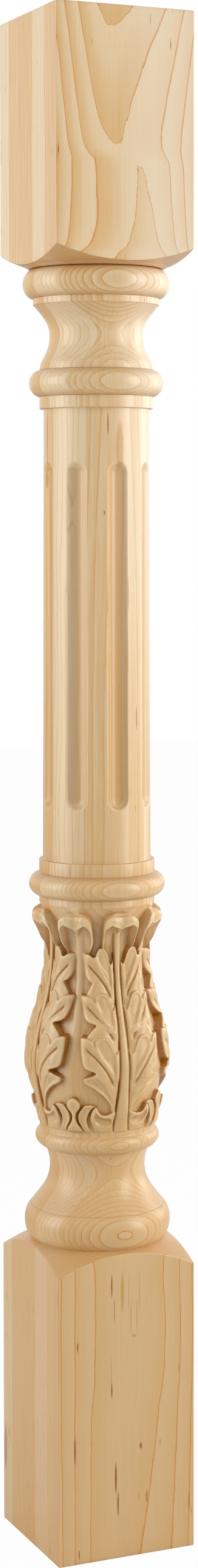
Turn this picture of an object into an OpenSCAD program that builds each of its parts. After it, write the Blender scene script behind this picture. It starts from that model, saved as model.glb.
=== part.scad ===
// Turned and carved stair newel post in one solid piece of wood.
// Square blocks at both ends, turned beads and coves, a fluted shaft and an acanthus bulb.
// Origin at the centre of the underside, +Z up, millimetres.

/* [Square blank] */
// Width of the square blank, across the flats
post_w = 101.6; // [84:0.1:125]
// Overall height of the post
post_h = 1054; // [870:1:1300]
// Height of the lower block, up to where its corners end
base_h = 197.8; // [120:0.1:300]
// Height of the upper block, down to where its corners end
head_h = 159.8; // [100:0.1:260]
// Easing of the sharp edges
ease = 0.5; // [0.3:0.1:3]

/* [Lower turning] */
// Height of the rounded shoulder on the lower block
foot_shoulder_h = 14; // [8:0.1:24]
// Height of the big bead over the lower shoulder
foot_bead_h = 23.1; // [14:0.1:34]
// Depth of the big beads below the faces of the blank
big_bead_cut = 0; // [0:0.1:4]
// Height of the lower cove
foot_cove_h = 40.1; // [26:0.1:60]
// Depth of the lower cove
foot_cove_cut = 17.7; // [12:0.1:24]
// Where the lower cove is deepest, as a share of its height
foot_cove_floor = 0.66; // [0.35:0.01:0.75]
// Height of the bead under the carving
under_bead_h = 13.2; // [9:0.1:24]
// Depth of that bead's crest
under_bead_cut = 7.6; // [4:0.1:10]
// Height of the plain neck between that bead and the carving
under_neck_h = 2.2; // [1:0.1:8]
// Height of the bead over the carving
over_bead_h = 16.1; // [10:0.1:24]
// Depth of that bead's crest
over_bead_cut = 3.5; // [1:0.1:9]

/* [Shaft] */
// Height of the plain band under the shaft
low_band_h = 9.1; // [4:0.1:16]
// Depth of that band
low_band_cut = 10.7; // [8:0.1:13]
// Height of the plain band over the shaft
top_band_h = 8.3; // [4:0.1:16]
// Depth of that band
top_band_cut = 11.5; // [8:0.1:13]
// Depth of the shaft at its foot
shaft_low_cut = 13.35; // [13.1:0.05:18]
// Depth of the shaft at its top
shaft_top_cut = 14.35; // [13.1:0.05:18]
// Number of flutes
flute_count = 8; // [4:1:10]
// Width of a flute across its mouth
flute_w = 14; // [8:0.1:17]
// Radius of a flute's round bottom
flute_r = 9; // [8.6:0.1:14]
// Plain shaft left between a flute and the bands
flute_margin = 37.4; // [15:0.1:60]

/* [Upper turning] */
// Height of the bead over the shaft
collar_bead_h = 18.5; // [12:0.1:28]
// Depth of that bead's crest
collar_bead_cut = 4.4; // [1:0.1:10]
// Height of the small step under the upper cove
step_h = 3.2; // [1.5:0.1:6]
// Height of the upper cove
head_cove_h = 41; // [26:0.1:60]
// Depth of the upper cove
head_cove_cut = 18.6; // [12:0.1:24]
// Where the upper cove is deepest, as a share of its height
head_cove_floor = 0.5; // [0.3:0.01:0.75]
// Height of the fillet over the upper cove
fillet_h = 4.4; // [2:0.1:8]
// Depth of that fillet
fillet_cut = 7.2; // [4:0.1:11]
// Height of the big bead under the upper shoulder
head_bead_h = 20.2; // [12:0.1:30]
// Height of the rounded shoulder on the upper block
head_shoulder_h = 12.1; // [8:0.1:24]

/* [Carved bulb] */
// Height of the carved bulb
carve_h = 160.1; // [120:0.1:210]
// Depth of the plain necks at both ends of the carving
neck_cut = 10.7; // [8:0.1:14]
// Depth of the leaf faces at the bulb's fullest
belly_cut = 0; // [0:0.1:5]
// Depth of the leaf faces at the bulb's waist
waist_cut = 13.9; // [9:0.1:18]
// Depth of the crests of the curled leaf tips
curl_cut = 5.1; // [2:0.1:9]
// How far the leaves stand over the ground between them
leaf_rise = 4.6; // [2:0.1:6]
// Half the width of a leaf's midrib
rib_w = 2.7; // [1.5:0.1:4]

/* [Hidden] */
$fn = 96;

wood = "burlywood";
half = post_w / 2;
corner_r = half * sqrt(2);
beyond = 8;          // how far the block's profile runs past the corners

// Stations from the floor up
shoulder_z = base_h;
foot_bead_z = shoulder_z + foot_shoulder_h;
foot_cove_z = foot_bead_z + foot_bead_h;
under_bead_z = foot_cove_z + foot_cove_h;
under_neck_z = under_bead_z + under_bead_h;
carve_z = under_neck_z + under_neck_h;
over_bead_z = carve_z + carve_h;
low_band_z = over_bead_z + over_bead_h;
shaft_z = low_band_z + low_band_h;

// Stations from the top down
head_z = post_h - head_h;
head_bead_top = head_z - head_shoulder_h;
head_bead_z = head_bead_top - head_bead_h;
head_cove_top = head_bead_z - fillet_h;
head_cove_z = head_cove_top - head_cove_h;
collar_top = head_cove_z - step_h;
collar_z = collar_top - collar_bead_h;
shaft_top = collar_z - top_band_h;

// Radii
big_r = half - big_bead_cut;
neck_r = half - neck_cut;
low_band_r = half - low_band_cut;
top_band_r = half - top_band_cut;
shaft_low_r = half - shaft_low_cut;
shaft_top_r = half - shaft_top_cut;
fillet_r = half - fillet_cut;
foot_cove_r = half - foot_cove_cut;
head_cove_r = half - head_cove_cut;
belly_r = half - belly_cut;
waist_r = half - waist_cut;
under_bead_r = half - under_bead_cut;
curl_r = half - curl_cut;
bead_sag = 8.3;      // how far a bead rounds off from its crest to its ends
under_bead_sag = 12; // the same for the bead under the carving, which is rounder
foot_bead_reach = 60; // degrees that the lower big bead turns either side of its crest
crease = 4.2;        // depth of the groove over the upper big bead
foot_bead_end = big_r - bead_sag * (1 - cos(foot_bead_reach));
neck_over = 4;       // plain turned neck over the carving
neck_under = 0.8;    // plain turned neck under the carving

// ---- curves -------------------------------------------------------------------------------

function smooth(x) = let (t = max(0, min(1, x))) t * t * (3 - 2 * t);

function bezier(a, b, c, d, steps = 8) =
    [for (i = [1:steps]) let (t = i / steps, s = 1 - t)
        s * s * s * a + 3 * s * s * t * b + 3 * s * t * t * c + t * t * t * d];

// Catmull-Rom curve through hand-set points
function spline_point(a, b, c, d, t) =
    0.5 * (2 * b + (c - a) * t + (2 * a - 5 * b + 4 * c - d) * t * t
        + (3 * b - 3 * c + d - a) * t * t * t);

function closed_spline(p, steps = 4) = let (n = len(p))
    [for (i = [0:n - 1]) for (k = [0:steps - 1])
        spline_point(p[(i + n - 1) % n], p[i], p[(i + 1) % n], p[(i + 2) % n], k / steps)];

function open_spline(p, steps = 5) = let (n = len(p))
    [for (i = [0:n - 2]) for (k = [0:i == n - 2 ? steps : steps - 1])
        spline_point(p[max(0, i - 1)], p[i], p[i + 1], p[min(n - 1, i + 2)], k / steps)];

// ---- turned profile, as [radius, height] ---------------------------------------------------

// A bead between two heights, as the part of an ellipse between two angles from its crest
function bead(z0, z1, crest, low = 84, high = 84, sag = bead_sag, steps = 12) =
    let (rise = (z1 - z0) / (sin(low) + sin(high)), mid = z0 + rise * sin(low))
    [for (i = [0:steps]) let (t = -low + (low + high) * i / steps)
        [crest - sag * (1 - cos(t)), mid + rise * sin(t)]];

// One flank of a cove, from its lip down to its floor
function cove_flank(lip, floor) = let (w = floor - lip)
    bezier(lip, lip + [w[0] * 0.56, w[1] * 0.36], lip + [w[0] * 0.97, w[1] * 0.56], floor);

// The same flank drawn the other way
function back(p) = [for (i = [len(p) - 1:-1:0]) p[i]];

function cove(z0, r0, z1, r1, floor_r, share) = let (mid = [floor_r, z0 + (z1 - z0) * share])
    concat([[r0, z0]], cove_flank([r0, z0], mid), back(cove_flank([r1, z1], mid)), [[r1, z1]]);

// A shoulder that sweeps out from the turning to past the block's corners
function shoulder(from, corner) = let (w = corner - from)
    concat([from],
        bezier(from, from + [w[0] * 0.42, w[1] * 0.32], from + [w[0] * 0.86, w[1] * 0.82], corner));

foot_profile = concat(
    [[0, 0], [corner_r + beyond, 0], [corner_r + beyond, shoulder_z - 1.4]],
    back(shoulder([foot_bead_end, foot_bead_z], [corner_r, shoulder_z])),
    bead(foot_bead_z, foot_cove_z, big_r, foot_bead_reach, foot_bead_reach),
    cove(foot_cove_z, foot_bead_end, under_bead_z, foot_cove_r + 2.8, foot_cove_r, foot_cove_floor),
    bead(under_bead_z, under_neck_z, under_bead_r, 66, acos(1 - (under_bead_r - neck_r) / under_bead_sag),
        under_bead_sag),
    [[neck_r, carve_z + neck_under], [0, carve_z + neck_under]]);

head_profile = concat(
    [[0, over_bead_z - neck_over], [neck_r, over_bead_z - neck_over], [neck_r, over_bead_z]],
    bead(over_bead_z, low_band_z, half - over_bead_cut),
    [[low_band_r, low_band_z], [low_band_r, shaft_z], [shaft_low_r, shaft_z]],
    [[shaft_top_r, shaft_top], [top_band_r, shaft_top], [top_band_r, collar_z]],
    bead(collar_z, collar_top, half - collar_bead_cut),
    [[top_band_r, collar_top], [top_band_r, head_cove_z]],
    cove(head_cove_z, top_band_r, head_cove_top, fillet_r - 0.4, head_cove_r, head_cove_floor),
    [[fillet_r, head_cove_top], [fillet_r, head_bead_z]],
    bead(head_bead_z, head_bead_top, big_r),
    [[big_r - crease, head_bead_top], [big_r - 1.3, head_bead_top + 2]],
    shoulder([big_r - 1.3, head_bead_top + 2], [corner_r, head_z]),
    [[corner_r + beyond, head_z + 1.4], [corner_r + beyond, post_h], [0, post_h]]);

// ---- carved relief ---------------------------------------------------------------------------
// One half of a leaf is drawn flat: x is the angle from the leaf's middle, 0 to 45 degrees, laid
// out as millimetres of girth at the belly, and y is the height over the foot of the carving.
// The whole bulb is eight copies of that half leaf, every other one mirrored.

drawn_h = 160;                   // height that the leaf is drawn at
girth = PI * 51 * 2 / 360 * 0.88; // drawn millimetres per degree
edge = 1.1;                      // width of a leaf's cut edge

function drawn(p) = [for (q = p) [q[0] * girth, q[1]]];

function seg_dist(q, a, b) =
    let (w = b - a, t = max(0, min(1, ((q - a) * w) / max(1e-9, w * w)))) norm(q - a - t * w);

function crosses(q, a, b) = (a[1] > q[1]) != (b[1] > q[1])
    && q[0] < (b[0] - a[0]) * (q[1] - a[1]) / (b[1] - a[1]) + a[0];

// Distance in from an outline, negative outside it
function depth_in(q, p) = let (n = len(p),
        near = min([for (i = [0:n - 1]) seg_dist(q, p[i], p[(i + 1) % n])]),
        hits = len([for (i = [0:n - 1]) if (crosses(q, p[i], p[(i + 1) % n])) 1]))
    hits % 2 == 1 ? near : -near;

// Lay a petal with top height `top` over what is already there
function lay(r, top, d) =
    let (w = smooth((d + edge / 2) / edge))
    w > 0 ? max(r, r * (1 - w) + top * w) : r;

// Radii along the bulb, as [height over the foot, radius]
face_line = open_spline([[0, neck_r], [8, belly_r - 8.6], [14, belly_r - 5.8], [22, belly_r - 4.2],
    [33, belly_r - 1.6], [46, belly_r], [60, belly_r - 1], [69, belly_r - 1.8], [76, belly_r - 4],
    [85, belly_r - 8.4], [94, waist_r + 4.6], [104, waist_r + 2.6], [113, waist_r],
    [129, waist_r + 0.8], [141, waist_r + 1.8], [155, neck_r]]);
ground_line = open_spline([[0, neck_r], [15, neck_r + 1.2], [34, belly_r - 6.4 - leaf_rise * 0.1],
    [46, belly_r - 2.4 - leaf_rise], [70, belly_r - 6.4 - leaf_rise], [97, waist_r + 0.9 - leaf_rise],
    [113, waist_r - 0.4 - leaf_rise], [125, waist_r - 0.3 - leaf_rise], [136, waist_r + 1.2 - leaf_rise],
    [147, neck_r - 3], [154, neck_r - 0.8], [158, neck_r]]);
rib_line = open_spline([[0, neck_r], [9, neck_r + 1.4], [22, belly_r - 5.8], [45, belly_r - 2.8],
    [60, belly_r - 4.4], [72, belly_r - 7.2], [90, waist_r + 1.5], [110, waist_r - 2.1],
    [135, waist_r - 2.3], [142, waist_r + 1.6], [155, neck_r]]);
curl_line = open_spline([[114, waist_r - 7], [122, waist_r - 3.6], [127, waist_r + 0.2], [132, waist_r + 3.2],
    [138, curl_r - 3], [144, curl_r - 0.3], [148, curl_r], [151, curl_r - 1.6],
    [153.4, neck_r + 1], [155, neck_r]]);

// Curled tips, of the leaves and then of the stems between them: the outline, the inside of the rim
// as [height, across], the lower edge of the lip, the run of the beak under it, and its middle's dip
leaf_curl = [
    closed_spline(drawn([[-8, 153.2], [0, 153.3], [6.5, 152.4], [12, 150], [15.8, 146.6], [17.5, 141.6],
        [17.9, 135], [18.4, 129.8], [17, 126], [12, 124], [0, 124], [-8, 124]])),
    open_spline([[116, 13.2], [124, 12.6], [129, 12], [136, 12], [141, 10.8], [144.2, 8.2], [146, 6]]),
    open_spline([[0, 142], [4.2, 142.6], [7.8, 143.8], [11, 142]]), 5, 1.9];
stem_curl = [
    closed_spline(drawn([[-8, 153], [0, 153], [7, 151.8], [12, 149.4], [15, 146.6], [16.8, 142],
        [17.5, 137], [17.8, 132], [16.4, 127.6], [13.4, 123.6], [9, 121], [0, 119], [-8, 119]])),
    open_spline([[114, 8], [121, 8.4], [126, 9.6], [133.4, 11.4], [139.4, 10.8], [143.2, 8.4], [146, 6]]),
    open_spline([[0, 140.8], [3.6, 141.7], [7, 143.4], [11, 142.6]]), 6.5, 3.2];

// A frond: tip height, outer point, the points of its outer edge and of its foot
fronds = [
    [127.8, [42.6, 123.2], [[41.2, 118.6], [38.4, 110], [32.5, 104.8], [29.4, 103.8]],
        [[31.5, 101], [36.5, 94], [34, 89], [22, 75], [2, 71]]],
    [97.2, [42, 95.2], [[40.8, 90.6], [36.3, 81.2], [31.8, 77.8], [25.2, 76]],
        [[27, 74.2], [33.5, 67], [32, 61], [20, 47], [2, 43]]],
    [68.2, [38, 67.8], [[38.4, 62.6], [36.2, 50.6], [33, 46.6], [25, 43.8]],
        [[34.6, 40.4], [34.6, 36.8], [26.6, 32.9], [20.4, 28.8], [14.6, 23.8], [11.4, 17], [2, 13.6]]]];

function frond_outline(f) = let (t = f[0], o = f[1]) closed_spline(drawn(concat(
    [[2, t - 12], [8, t - 11.5], [10.2, t - 7], [13.4, t - 1.8], [17.4, t], [21.3, t - 0.3]],
    [[24.2, t - 3.2], [25.6, t - 5.8], [28.2, o[1] - 1.6], [33, o[1] + 0.2], o], f[2], f[3])));

function scoop_outline(f) = let (t = f[0]) closed_spline(drawn([[7.4, t - 13], [10.2, t - 7],
    [13.4, t - 1.8], [17.4, t], [21.3, t - 0.3], [24.2, t - 3.2], [21.5, t - 13],
    [11.5, t - 25], [7, t - 24]]));

frond_outlines = [for (f = fronds) frond_outline(f)];
scoop_outlines = [for (f = fronds) scoop_outline(f)];

// At the foot: the scroll that ends the leaf, and the finger and middle lobe between leaves
scroll_outline = closed_spline(drawn([[0, 17], [8, 16.4], [14.4, 14.7], [20.6, 15.6], [24.4, 20.2],
    [27.6, 18.2], [30.4, 11.4], [28, 4.2], [25.6, -3], [0, -3]]));
finger_outline = closed_spline(drawn([[24.8, 20.2], [32.4, 21.6], [39.4, 17], [41.2, 11], [36, 2],
    [34.6, -3], [28, -3], [31.2, 4.8], [32.5, 12], [27.8, 18.6]]));
lobe_outline = closed_spline(drawn([[0, 26.2], [5.2, 23.5], [5.6, 18.2], [2, 12.6], [6.3, 5.4],
    [9.4, -3], [-8, -3], [-8, 25.4]]));

// The leaf's own face: highest along the middle of each side, falling to the rib and the edge
function leaf_face(a, y) =
    let (fall = a < 24 ? 2.7 * pow((24 - a) / 19, 2) : 4.4 * pow((a - 24) / 17, 2))
    lookup(y, face_line) - fall * smooth(y / 9) * smooth((156 - y) / 14);

// A leaf tip that curls over: a rolled lip with a cup under each side of it
function curl(r, q, y, floor, c) = let (
        under = smooth((lookup(q[0], c[2]) - y) / (0.8 + c[3] * (1 - smooth(q[0] / 3.8)))),
        m = under * smooth((lookup(y, c[1]) - q[0]) / 1.3 + 0.5),
        crown = lookup(y, curl_line) - c[4] * exp(-pow(q[0] / 4.4, 2)))
    lay(r, crown * (1 - m) + floor * m, depth_in(q, c[0]));

function frond(r, q, a, y, i) = let (o = fronds[i][1],
        dip = i < 2 ? 1.8 * smooth((o[1] - 13 - y) / 12) : smooth((o[1] - 27 - y) / 6),
        scoop = 1.5 * smooth(depth_in(q, scoop_outlines[i]) / 2.8))
    lay(r, leaf_face(a, y) - dip - scoop, depth_in(q, frond_outlines[i]));

function all_fronds(r, q, a, y, i = 0) =
    i == len(fronds) ? r : all_fronds(frond(r, q, a, y, i), q, a, y, i + 1);

function with_rib(r, x, y) = let (k = smooth((rib_w + 0.8 - x) / 1.2) * smooth((140 - y) / 3) * smooth(y / 2))
    r * (1 - k) + k * (lookup(y, rib_line) + max(-1, 1 - pow(x / rib_w, 2)));

// Radius of the carving at an angle from the leaf's middle and a height over its foot
function relief(a, y) = let (
        q = [a * girth, y],
        s = [(45 - a) * girth, y],
        ground = lookup(y, ground_line),
        stem = ground + 1.3 * smooth((y - 45) / 50) * max(0, 1 - pow(s[0] / 4.6, 2)),
        side_curl = curl(stem, s, y, stem + 0.3, stem_curl),
        tips = curl(side_curl, q, y, ground + 1.4, leaf_curl),
        leaf = all_fronds(tips, q, a, y),
        scroll = lay(leaf, leaf_face(a, y) + 0.2, depth_in(q, scroll_outline)),
        finger = lay(scroll, ground + 3 * smooth((y + 2) / 12), depth_in(q, finger_outline)),
        lobe = lay(finger, ground + 3.6 * smooth((y + 2) / 13), depth_in(s, lobe_outline)))
    min(belly_r, with_rib(lobe, q[0], y));

half_cols = 12;                  // facets across half a leaf
cols = 8 * half_cols;
rows = 50;
sunk = 2;                        // how far the carving runs into the turning at each end
shy = 0.5;                       // how far its ends stay inside the necks
carve_from = -sunk;
carve_to = drawn_h - neck_over + sunk;
carve_k = carve_h / drawn_h;

half_leaf = [for (j = [0:rows]) let (y = carve_from + (carve_to - carve_from) * j / rows,
        flat = smooth((y - neck_under) / 2) * smooth((drawn_h - neck_over - y) / 2))
    [for (i = [0:half_cols]) (neck_r - shy) * (1 - flat) + relief(45 * i / half_cols, y) * flat]];

function mirrored(i) = let (k = i % (2 * half_cols)) k <= half_cols ? k : 2 * half_cols - k;

module carved_bulb() {
    ring = [for (j = [0:rows]) for (i = [0:cols - 1])
        let (y = carve_from + (carve_to - carve_from) * j / rows, r = half_leaf[j][mirrored(i)])
        [r * cos(360 * i / cols), r * sin(360 * i / cols), carve_z + y * carve_k]];
    wall = [for (j = [0:rows - 1]) for (i = [0:cols - 1]) for (side = [0, 1])
        let (a = j * cols + i, b = j * cols + (i + 1) % cols)
        side == 0 ? [a, a + cols, b] : [b, a + cols, b + cols]];
    foot = [[for (i = [0:cols - 1]) i]];
    top = [[for (i = [cols - 1:-1:0]) rows * cols + i]];
    color(wood) polyhedron(points = ring, faces = concat(foot, wall, top), convexity = 6);
}

// ---- the rest of the post ---------------------------------------------------------------------

// Square section with its long edges eased, cut along one axis
module eased_bar(w, d, h) {
    x = w / 2;
    y = d / 2;
    linear_extrude(h)
        polygon([[ease - x, -y], [x - ease, -y], [x, ease - y], [x, y - ease],
            [x - ease, y], [ease - x, y], [-x, y - ease], [-x, ease - y]]);
}

module blank() {
    intersection() {
        eased_bar(post_w, post_w, post_h);
        translate([0, post_w, post_h / 2]) rotate([90, 0, 0]) eased_bar(post_w, post_h, post_w * 2);
        translate([-post_w, 0, post_h / 2]) rotate([0, 90, 0]) eased_bar(post_h, post_w, post_w * 2);
    }
}

module turned_foot() {
    color(wood) intersection() {
        rotate_extrude() polygon(foot_profile);
        blank();
    }
}

// A flute cut by a round-nosed cutter, with round ends
module flute() {
    from = shaft_z + flute_margin + flute_w / 2;
    to = shaft_top - flute_margin - flute_w / 2;
    shaft_r = (shaft_low_r + shaft_top_r) / 2;
    cutter = sqrt(pow(shaft_r, 2) - pow(flute_w / 2, 2)) + sqrt(pow(flute_r, 2) - pow(flute_w / 2, 2));
    translate([cutter, 0, from]) cylinder(h = to - from, r = flute_r);
    for (z = [from, to]) translate([cutter, 0, z]) sphere(r = flute_r);
}

module turned_head() {
    color(wood) difference() {
        intersection() {
            rotate_extrude() polygon(head_profile);
            blank();
        }
        for (i = [0:flute_count - 1]) rotate(360 * i / flute_count) flute();
    }
}

module newel_post() {
    union() {
        turned_foot();
        carved_bulb();
        turned_head();
    }
}

newel_post();
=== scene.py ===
"""Newel post in glued-up maple: turned, fluted and carved, under a clear satin finish."""
import math

import bpy
import numpy as np
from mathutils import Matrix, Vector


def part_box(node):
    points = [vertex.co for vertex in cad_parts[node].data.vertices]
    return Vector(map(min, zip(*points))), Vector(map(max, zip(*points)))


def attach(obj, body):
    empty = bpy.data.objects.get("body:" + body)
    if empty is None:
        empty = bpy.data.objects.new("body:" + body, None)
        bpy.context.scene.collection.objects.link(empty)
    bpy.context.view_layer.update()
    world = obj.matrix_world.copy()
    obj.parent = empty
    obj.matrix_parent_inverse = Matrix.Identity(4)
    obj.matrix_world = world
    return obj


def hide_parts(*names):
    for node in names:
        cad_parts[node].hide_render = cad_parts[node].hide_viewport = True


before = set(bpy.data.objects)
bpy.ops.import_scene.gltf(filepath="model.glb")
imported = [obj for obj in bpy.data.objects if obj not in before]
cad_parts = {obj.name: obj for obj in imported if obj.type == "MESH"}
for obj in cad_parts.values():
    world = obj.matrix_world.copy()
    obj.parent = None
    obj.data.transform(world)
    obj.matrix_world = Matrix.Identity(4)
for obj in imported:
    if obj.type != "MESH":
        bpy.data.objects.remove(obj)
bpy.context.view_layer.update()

# ---- sizes, in millimetres ---------------------------------------------------------------------
MM = 0.001
post_low, post_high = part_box("newel_post")
HALF = (post_high.x - post_low.x) / 2 / MM  # half the width of the square blank
POST_H = post_high.z / MM
CORNER = HALF * math.sqrt(2)     # from the axis to a corner of the blank
EDGE_R = 0.6                     # rounding of the blank's long edges
ARRIS_R = 0.4                    # rounding of the arched edges
SOFTEN_R = 0.5                   # rounding of the corners that the lathe tool leaves
SOFTEN_FROM = 24                 # least turn, in degrees, of a corner that is rounded

# Lower turning, from the floor up
FOOT_CORNER_Z = 197.8
FOOT_BEAD_Z = FOOT_CORNER_Z + 14
FOOT_COVE_Z = FOOT_BEAD_Z + 23.1
UNDER_BEAD_Z = FOOT_COVE_Z + 40.1
UNDER_NECK_Z = UNDER_BEAD_Z + 13.2
CARVE_Z = UNDER_NECK_Z + 2.2
CARVE_H = 160.1
OVER_BEAD_Z = CARVE_Z + CARVE_H
LOW_BAND_Z = OVER_BEAD_Z + 16.1
SHAFT_Z = LOW_BAND_Z + 9.1

# Upper turning, from the top down
HEAD_CORNER_Z = POST_H - 159.8
HEAD_BEAD_TOP = HEAD_CORNER_Z - 12.1
HEAD_BEAD_Z = HEAD_BEAD_TOP - 20.2
HEAD_COVE_TOP = HEAD_BEAD_Z - 4.4
HEAD_COVE_Z = HEAD_COVE_TOP - 41
COLLAR_TOP = HEAD_COVE_Z - 3.2
COLLAR_Z = COLLAR_TOP - 18.5
SHAFT_TOP = COLLAR_Z - 8.3

# Radii
NECK_R = HALF - 10.7
LOW_BAND_R = HALF - 10.7
TOP_BAND_R = HALF - 11.5
SHAFT_LOW_R = HALF - 13.35
SHAFT_TOP_R = HALF - 14.35
FILLET_R = HALF - 7.2
FOOT_COVE_R = HALF - 17.7
HEAD_COVE_R = HALF - 18.6
UNDER_BEAD_R = HALF - 7.6
UNDER_BEAD_SAG = 12
BEAD_SAG = 8.3
FOOT_BEAD_REACH = 60
FOOT_BEAD_END = HALF - BEAD_SAG * (1 - math.cos(math.radians(FOOT_BEAD_REACH)))
HEAD_SPRING = [HALF - 1.3, HEAD_BEAD_TOP + 2]  # where the shoulder of the upper block starts
NICK = 0.7                       # depth of the tool's nick between the foot bead and its cove
NECK_OVER = 4                    # plain neck left over the carving
NECK_UNDER = 0.8                 # plain neck left under the carving
RELIEF_H = 160                   # height of the carving as drawn, before CARVE_H stretches it
LEAD = 3                         # from an end of the shaft or of a block's faces to the next ring

# Flutes
FLUTE_W = 14
FLUTE_R = 9
FLUTE_MARGIN = 37.4
FLUTE_RIM = 1.5                  # how softly the shaft turns into a flute


# ---- curves ------------------------------------------------------------------------------------
def smooth(x):
    x = np.clip(x, 0, 1)
    return x * x * (3 - 2 * x)


def spline(points, closed=False, steps=6):
    """Catmull-Rom curve through given points."""
    p = np.array(points, float)
    if closed:
        p = np.vstack([p[-1], p, p[0], p[1]])
    else:
        p = np.vstack([2 * p[0] - p[1], p, 2 * p[-1] - p[-2]])
    t = np.linspace(0, 1, steps, endpoint=False)[:, None]
    out = []
    for a, b, c, d in zip(p[:-3], p[1:-2], p[2:-1], p[3:]):
        out.append(0.5 * (2 * b + (c - a) * t + (2 * a - 5 * b + 4 * c - d) * t ** 2
                          + (3 * b - 3 * c + d - a) * t ** 3))
    if not closed:
        out.append(p[-2:-1])
    return np.vstack(out)


def bezier(a, b, c, d, steps=14):
    t = np.linspace(0, 1, steps)[:, None]
    s = 1 - t
    a, b, c, d = (np.array(q, float) for q in (a, b, c, d))
    return s ** 3 * a + 3 * s * s * t * b + 3 * s * t * t * c + t ** 3 * d


def bead(z0, z1, crest, low=84, high=84, sag=BEAD_SAG):
    """A turned bead, as [radius, height]: part of an ellipse either side of its crest."""
    t = np.radians(np.linspace(-low, high, 18))
    rise = (z1 - z0) / (np.sin(t[-1]) - np.sin(t[0]))
    return np.stack([crest - sag * (1 - np.cos(t)), z0 + rise * (np.sin(t) - np.sin(t[0]))], 1)


def cove(z0, r0, z1, r1, floor_r, share):
    """A turned hollow between two lips."""
    floor = np.array([floor_r, z0 + (z1 - z0) * share])
    flanks = []
    for lip in (np.array([r0, z0]), np.array([r1, z1])):
        w = floor - lip
        flanks.append(bezier(lip, lip + w * [0.56, 0.36], lip + w * [0.97, 0.56], floor))
    return np.vstack([flanks[0], flanks[1][-2::-1]])


def shoulder(start, corner):
    """The sweep from the turning out to past the corners of the block."""
    start, corner = np.array(start, float), np.array(corner, float)
    w = corner - start
    return bezier(start, start + w * [0.42, 0.32], start + w * [0.86, 0.82], corner, 60)


def soften(points):
    """Rounds each sharp corner of a profile."""
    out = [points[0]]
    for before, here, after in zip(points[:-2], points[1:-1], points[2:]):
        u, v = before - here, after - here
        lu, lv = np.hypot(*u), np.hypot(*v)
        if min(lu, lv) < 1e-6:
            continue
        turn = 180 - math.degrees(math.acos(np.clip(u @ v / lu / lv, -1, 1)))
        if turn < SOFTEN_FROM:
            out.append(here)
            continue
        cut = min(SOFTEN_R, 0.45 * lu, 0.45 * lv)
        a, b = here + u / lu * cut, here + v / lv * cut
        for t in (0, 0.25, 0.5, 0.75, 1):
            out.append((1 - t) ** 2 * a + 2 * t * (1 - t) * here + t * t * b)
    out.append(points[-1])
    return np.array(out)


foot_turning = soften(np.vstack([
    bead(FOOT_BEAD_Z, FOOT_COVE_Z, HALF, FOOT_BEAD_REACH, FOOT_BEAD_REACH),
    [[FOOT_BEAD_END - NICK, FOOT_COVE_Z]],
    cove(FOOT_COVE_Z, FOOT_BEAD_END, UNDER_BEAD_Z, FOOT_COVE_R + 2.8, FOOT_COVE_R, 0.66),
    bead(UNDER_BEAD_Z, UNDER_NECK_Z, UNDER_BEAD_R, 66,
         math.degrees(math.acos(1 - (UNDER_BEAD_R - NECK_R) / UNDER_BEAD_SAG)), UNDER_BEAD_SAG),
    [[NECK_R, CARVE_Z]]]))

over_turning = soften(np.vstack([
    [[NECK_R, OVER_BEAD_Z - NECK_OVER + 0.6], [NECK_R, OVER_BEAD_Z]],
    bead(OVER_BEAD_Z, LOW_BAND_Z, HALF - 3.5),
    [[LOW_BAND_R, LOW_BAND_Z], [LOW_BAND_R, SHAFT_Z], [SHAFT_LOW_R, SHAFT_Z],
     [SHAFT_LOW_R, SHAFT_Z + LEAD]]]))

head_turning = soften(np.vstack([
    [[SHAFT_TOP_R, SHAFT_TOP - LEAD], [SHAFT_TOP_R, SHAFT_TOP], [TOP_BAND_R, SHAFT_TOP],
     [TOP_BAND_R, COLLAR_Z]],
    bead(COLLAR_Z, COLLAR_TOP, HALF - 4.4),
    [[TOP_BAND_R, COLLAR_TOP], [TOP_BAND_R, HEAD_COVE_Z]],
    cove(HEAD_COVE_Z, TOP_BAND_R, HEAD_COVE_TOP, FILLET_R - 0.4, HEAD_COVE_R, 0.5),
    [[FILLET_R, HEAD_COVE_TOP], [FILLET_R, HEAD_BEAD_Z]],
    bead(HEAD_BEAD_Z, HEAD_BEAD_TOP, HALF),
    [[HALF - 4.2, HEAD_BEAD_TOP], HEAD_SPRING]]))

foot_shoulder = shoulder([FOOT_BEAD_END, FOOT_BEAD_Z], [CORNER, FOOT_CORNER_Z])
head_shoulder = shoulder(HEAD_SPRING, [CORNER, HEAD_CORNER_Z])


# ---- carved relief -----------------------------------------------------------------------------
# One half of a leaf is drawn flat: across is the angle from the leaf's middle, 0 to 45 degrees,
# laid out as millimetres of girth at the belly, and up is the height over the foot of the carving.
GIRTH = 0.785                    # drawn millimetres per degree
CUT = 1.1                        # width of a leaf's cut edge
LEAF_RISE = 4.6
BELLY, WAIST, CURL_R = HALF, HALF - 13.9, HALF - 5.1

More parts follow.
